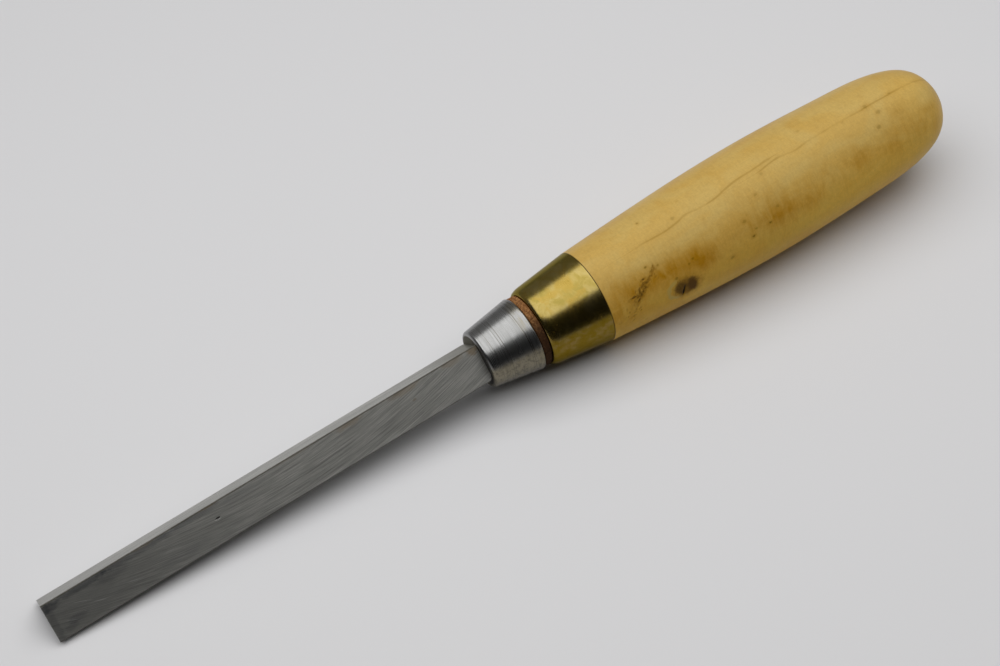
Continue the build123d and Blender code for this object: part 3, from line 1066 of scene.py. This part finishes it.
def make_washer(material):
    """Leather washer: compressed between its neighbours, its cut edge fibrous and uneven."""
    start, end, front, rear, cone = ring_profile("leather_washer", *WASHER_ROUNDS)
    sides = np.linspace(front[-1, 0], rear[0, 0], 26)[1:-1]
    profile = bored(start, end, front, sides, rear, cone, (5, 5))
    angles = np.arange(0, 360, 0.6)
    points = turned(*profile.T, angles)
    rim = smooth(8.6, 9.3, profile[:, 1])[:, None]
    sizes = (0.085, 0.32, 41), (0.05, 0.15, 42), (0.05, (0.5, 2.4, 2.4), 43)
    rough = sum(depth * (1 + noise(points, size, seed)) for depth, size, seed in sizes)
    rows = turned(*profile.T, angles, -rough * rim)
    rows[..., 0] = np.clip(rows[..., 0], start, end)
    shell = Shell().add(rows, inward=True, along=True, pile=rough * rim)
    return shell.build("leather_shock_washer", "leather_washer", "leather", material, sharp=60)


def leather():
    """Raw cut leather edge: tan to red-brown, speckled and fibrous, with painted shade on the side turned
    down.
    """
    n = material_nodes("cut_leather")
    place = n.attribute("tool")
    speck = n.noise(place, 2.3, 5, 0.7)
    patch = n.drawn(place, (0.35, 0.16, 0.16), 3, 0.6, 0.8)
    fibre = n.drawn(place, (2.2, 6, 6), 3, 0.65)
    turn = n.turn(*n.axes(place)[1:])
    colour = n.layers(
        n.mix(n.span(speck, 0.42, 0.60), LEATHER_RED, LEATHER_TAN),
        (n.span(patch, 0.40, 0.66, 0.0, 0.6), LEATHER_RED),
        (n.span(fibre, 0.54, 0.72, 0.0, 0.55), LEATHER_DARK),
        (n.span(n.value("pile"), 0.18, 0.34, 0.0, 0.75), LEATHER_DARK),
        # Painted shade: the washer darkened from its top round to its underside, where it sits recessed
        # between the bolster and the ferrule
        (n.times(low_side(n, turn, -6, 50), 0.91), LEATHER_DARK),
    )
    normal = n.bump(n.plus(speck, n.times(fibre, 0.7)), 0.12)
    return n.finish(Base_Color=colour, Roughness=0.9, Normal=normal, Specular_IOR_Level=0.15)


# ---------------------------------------------------------------- ferrule

BRASS = (0.265, 0.195, 0.046)
BRASS_PALE = (0.31, 0.240, 0.085)
BRASS_OLIVE = (0.18, 0.150, 0.036)
BRASS_ORANGE = (0.285, 0.195, 0.042)
BRASS_BROWN = (0.170, 0.108, 0.004)
BRASS_TAN = (0.215, 0.145, 0.040)
BRASS_GRAZED = (0.76, 0.71, 0.52)
# The rounded shoulder's length and depth, and the sharp rims' radius
FERRULE_SHOULDER = (2.2, 0.8)
FERRULE_EDGE = 0.08
# Shallow dents: station, angle, half width and depth in mm, on a mean radius
DENTS = [(135.6, 26, 1.0, 0.006), (137.4, 31, 1.4, 0.006), (143, 12, 1.8, 0.005)]
DENT_RADIUS = 11.5


def make_ferrule(material):
    """Tapered brass cup with a rounded front, polished by hand so that its surface waves slightly."""
    start, end, _, rear, cone = ring_profile("ferrule", FERRULE_EDGE, FERRULE_EDGE)
    long, deep = FERRULE_SHOULDER
    turn = np.radians(np.linspace(0, 88, 26))
    front_x = start + long * (1 - np.cos(turn))
    front = np.stack([front_x, cone(front_x) - deep * (1 - np.sin(turn))], -1)
    points = cad_points("ferrule")
    hole = cad_radii(points).min()
    bore = cad_radii(at_station(points, end)).min()
    inside = points[cad_radii(points) < hole + 0.01, 0].max()
    neck = cad_radii(at_station(points, inside)).max()
    sides = spaced((front[-1, 0] + 0.1, rear[0, 0] - 0.05, 0.14))
    outline = np.concatenate([front, np.stack([sides, cone(sides)], -1), rear])
    face = [(start, r) for r in np.linspace(hole, front[0, 1] - 0.1, 6)]
    within = [(end, bore), (inside, neck), (inside, hole)]
    profile = np.concatenate([face, outline, within])
    angles = np.arange(0, 360, 1.25)
    grid = turned(*profile.T, angles)
    outer = smooth(start + 0.2, start + 1.4, profile[:, 0]) * (1 - smooth(end - 0.3, end, profile[:, 0]))
    outer = (outer * (profile[:, 1] > cone(profile[:, 0]) - 0.3))[:, None]
    waves = 0.0045 * (1 + noise(grid, (4.6, 5.0, 5.0), 51))
    waves = waves + 0.0004 * (1 + noise(grid, (1.3, 1.8, 1.8), 52))
    dents = np.zeros(waves.shape)
    for station, angle, size, depth in DENTS:
        beside = around(angles[None, :], angle, DENT_RADIUS)
        dents += depth * np.exp(-(((grid[..., 0] - station) / size) ** 2 + (beside / size) ** 2))
    rows = turned(*profile.T, angles, -(waves + dents) * outer)
    shell = Shell().add(rows, inward=True, along=True)
    return shell.build("brass_ferrule", "ferrule", "brass", material, sharp=40)


def brass():
    """Polished brass under a thin clear film, clouded olive and stained brown, with darker reflections
    painted on its far side and on the side turned down.
    """
    n = material_nodes("polished_brass")
    place = n.attribute("tool")
    cloud = n.drawn(place, (0.30, 0.26, 0.26), 4, 0.6, 1.0)
    stain = n.drawn(place, (0.30, 0.28, 0.28), 4, 0.6, 0.6, offset=(7, 3, 1))
    rub = n.drawn(place, (3.0, 0.7, 0.7), 4, 0.7)
    turn = n.turn(*n.axes(place)[1:])
    tarnish = n.drawn(place, (0.35, 0.6, 0.6), 5, 0.65, offset=(5, 5, 2))
    # Painted reflection: darker brown for the side turned down, mottled like tarnish
    tan = n.mix(n.span(tarnish, 0.44, 0.62), BRASS_BROWN, BRASS_TAN)
    colour = n.layers(
        n.mix(n.span(cloud, 0.38, 0.66), BRASS, BRASS_PALE),
        (n.span(cloud, 0.58, 0.30, 0.0, 0.35), BRASS_OLIVE),
        (n.span(stain, 0.44, 0.64, 0.0, 0.85), BRASS_ORANGE),
        (n.span(stain, 0.64, 0.80, 0.0, 0.40), BRASS_BROWN),
        # Painted reflection: the far side darkened to olive
        (n.times(n.span(turn, -0.42, -0.56), n.span(turn, -2.6, -2.2), 0.6), BRASS_OLIVE),
        (n.times(low_side(n, turn), n.span(stain, 0.2, 0.7, 0.65, 0.9)), tan),
    )
    rough = n.plus(n.span(rub, 0.35, 0.7, 0.205, 0.265), n.span(stain, 0.55, 0.8, 0.0, 0.06))
    return n.finish(
        Base_Color=colour, Metallic=1.0, Roughness=rough, Normal=n.bump(rub, 0.0008),
        Specular_Tint=BRASS_GRAZED,
    )


# ---------------------------------------------------------------- stage

CAMERA_AIM = Vector((1.987, 11.77, 0)) * MM
CAMERA_DISTANCE = 507.39 * MM
CAMERA_ELEVATION = math.radians(51.109)
CAMERA_HEADING = math.radians(28.156)
CAMERA_ROLL = math.radians(5.730)
CAMERA_LENS = 73.77
SOFTBOX_HEIGHT = 0.55
SOFTBOX_NEAR, SOFTBOX_FAR, SOFTBOX_SIDE = 0.560, 0.785, 0.95
SOFTBOX_TURN = math.radians(8)
SOFTBOX_RADIANCE = 2.0
# The room's strength grows from the third number to the fourth as a direction's share of straight
# ahead grows from the first to the second. The backdrop that the camera sees is even.
ROOM_RAMP = (-0.25, 0.55, 0.015, 0.28)
BACKDROP = 0.6
FLOOR_PAINT = (0.66, 0.657, 0.665)
FLOOR_RADIUS = 0.182
FLOOR_AHEAD = 0.045


def heading():
    """Horizontal direction from the camera towards the tool."""
    return Vector((math.sin(CAMERA_HEADING), math.cos(CAMERA_HEADING), 0))


def make_camera():
    """Camera above the tool on the blade's near side, rolled a little."""
    ahead = heading()
    forward = ahead * math.cos(CAMERA_ELEVATION) - Vector((0, 0, math.sin(CAMERA_ELEVATION)))
    level = forward.cross(Vector((0, 0, 1))).normalized()
    down = forward.cross(level)
    right = level * math.cos(CAMERA_ROLL) + down * math.sin(CAMERA_ROLL)
    turn = Matrix((right, right.cross(forward), -forward)).transposed()
    data = bpy.data.cameras.new("camera")
    data.lens, data.sensor_width = CAMERA_LENS, 36
    camera = linked("camera", data)
    camera.matrix_world = Matrix.Translation(CAMERA_AIM - forward * CAMERA_DISTANCE) @ turn.to_4x4()
    data.clip_start, data.clip_end = 0.01, 20
    bpy.context.scene.camera = camera


def make_softbox():
    """A rectangular light overhead, turned a little from the camera's heading."""
    near, far, side = (s * SOFTBOX_HEIGHT for s in (SOFTBOX_NEAR, SOFTBOX_FAR, SOFTBOX_SIDE))
    data = bpy.data.lights.new("softbox", "AREA")
    data.shape, data.size, data.size_y = "RECTANGLE", 2 * side, near + far
    data.energy = SOFTBOX_RADIANCE * math.pi * data.size * data.size_y
    lamp = linked("softbox", data)
    ahead = Matrix.Rotation(SOFTBOX_TURN, 3, "Z") @ heading()
    across = ahead.cross(Vector((0, 0, 1)))
    middle = ahead * (far - near) / 2 + Vector((0, 0, SOFTBOX_HEIGHT))
    turn = Matrix((across, ahead, across.cross(ahead))).transposed()
    lamp.matrix_world = Matrix.Translation(middle) @ turn.to_4x4()
    lamp.visible_camera = False


def make_world():
    """A dim room: paler beyond the tool, dark on the camera's side, and a plain pale backdrop."""
    world = bpy.data.worlds.new("studio")
    bpy.context.scene.world = world
    n = Nodes(world, "Background", "OutputWorld")
    place = n.node("TexCoord").outputs["Generated"]
    facing = n.node("VectorMath", {0: place, 1: heading()}, operation="DOT_PRODUCT").outputs["Value"]
    seen = n.node("LightPath").outputs["Is Camera Ray"]
    room = n.node("Mix", {0: seen, 2: n.span(facing, *ROOM_RAMP), 3: BACKDROP}, data_type="FLOAT")
    n.finish(Strength=room.outputs[0])


def make_floor():
    """Plain pale round board under the tool."""
    turns = np.linspace(0, 2 * math.pi, 180, endpoint=False)
    middle = heading() * FLOOR_AHEAD
    ring = [(middle.x + FLOOR_RADIUS * math.cos(t), middle.y + FLOOR_RADIUS * math.sin(t), 0) for t in turns]
    mesh = bpy.data.meshes.new("floor")
    mesh.from_pydata(ring, [], [tuple(range(len(ring)))])
    n = material_nodes("pale_floor")
    mesh.materials.append(n.finish(Base_Color=FLOOR_PAINT, Roughness=0.6, Specular_IOR_Level=0.3))
    linked("floor", mesh)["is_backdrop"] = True


make_handle(boxwood())
make_ferrule(brass())
make_washer(leather())
make_bolster(bolster_steel())
make_blade(blade_steel())

make_camera()
make_softbox()
make_world()
make_floor()
bpy.context.scene.view_settings.view_transform = "Standard"

visual_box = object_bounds()
[[list(corner) for corner in box] for box in (cad_box, visual_box)]
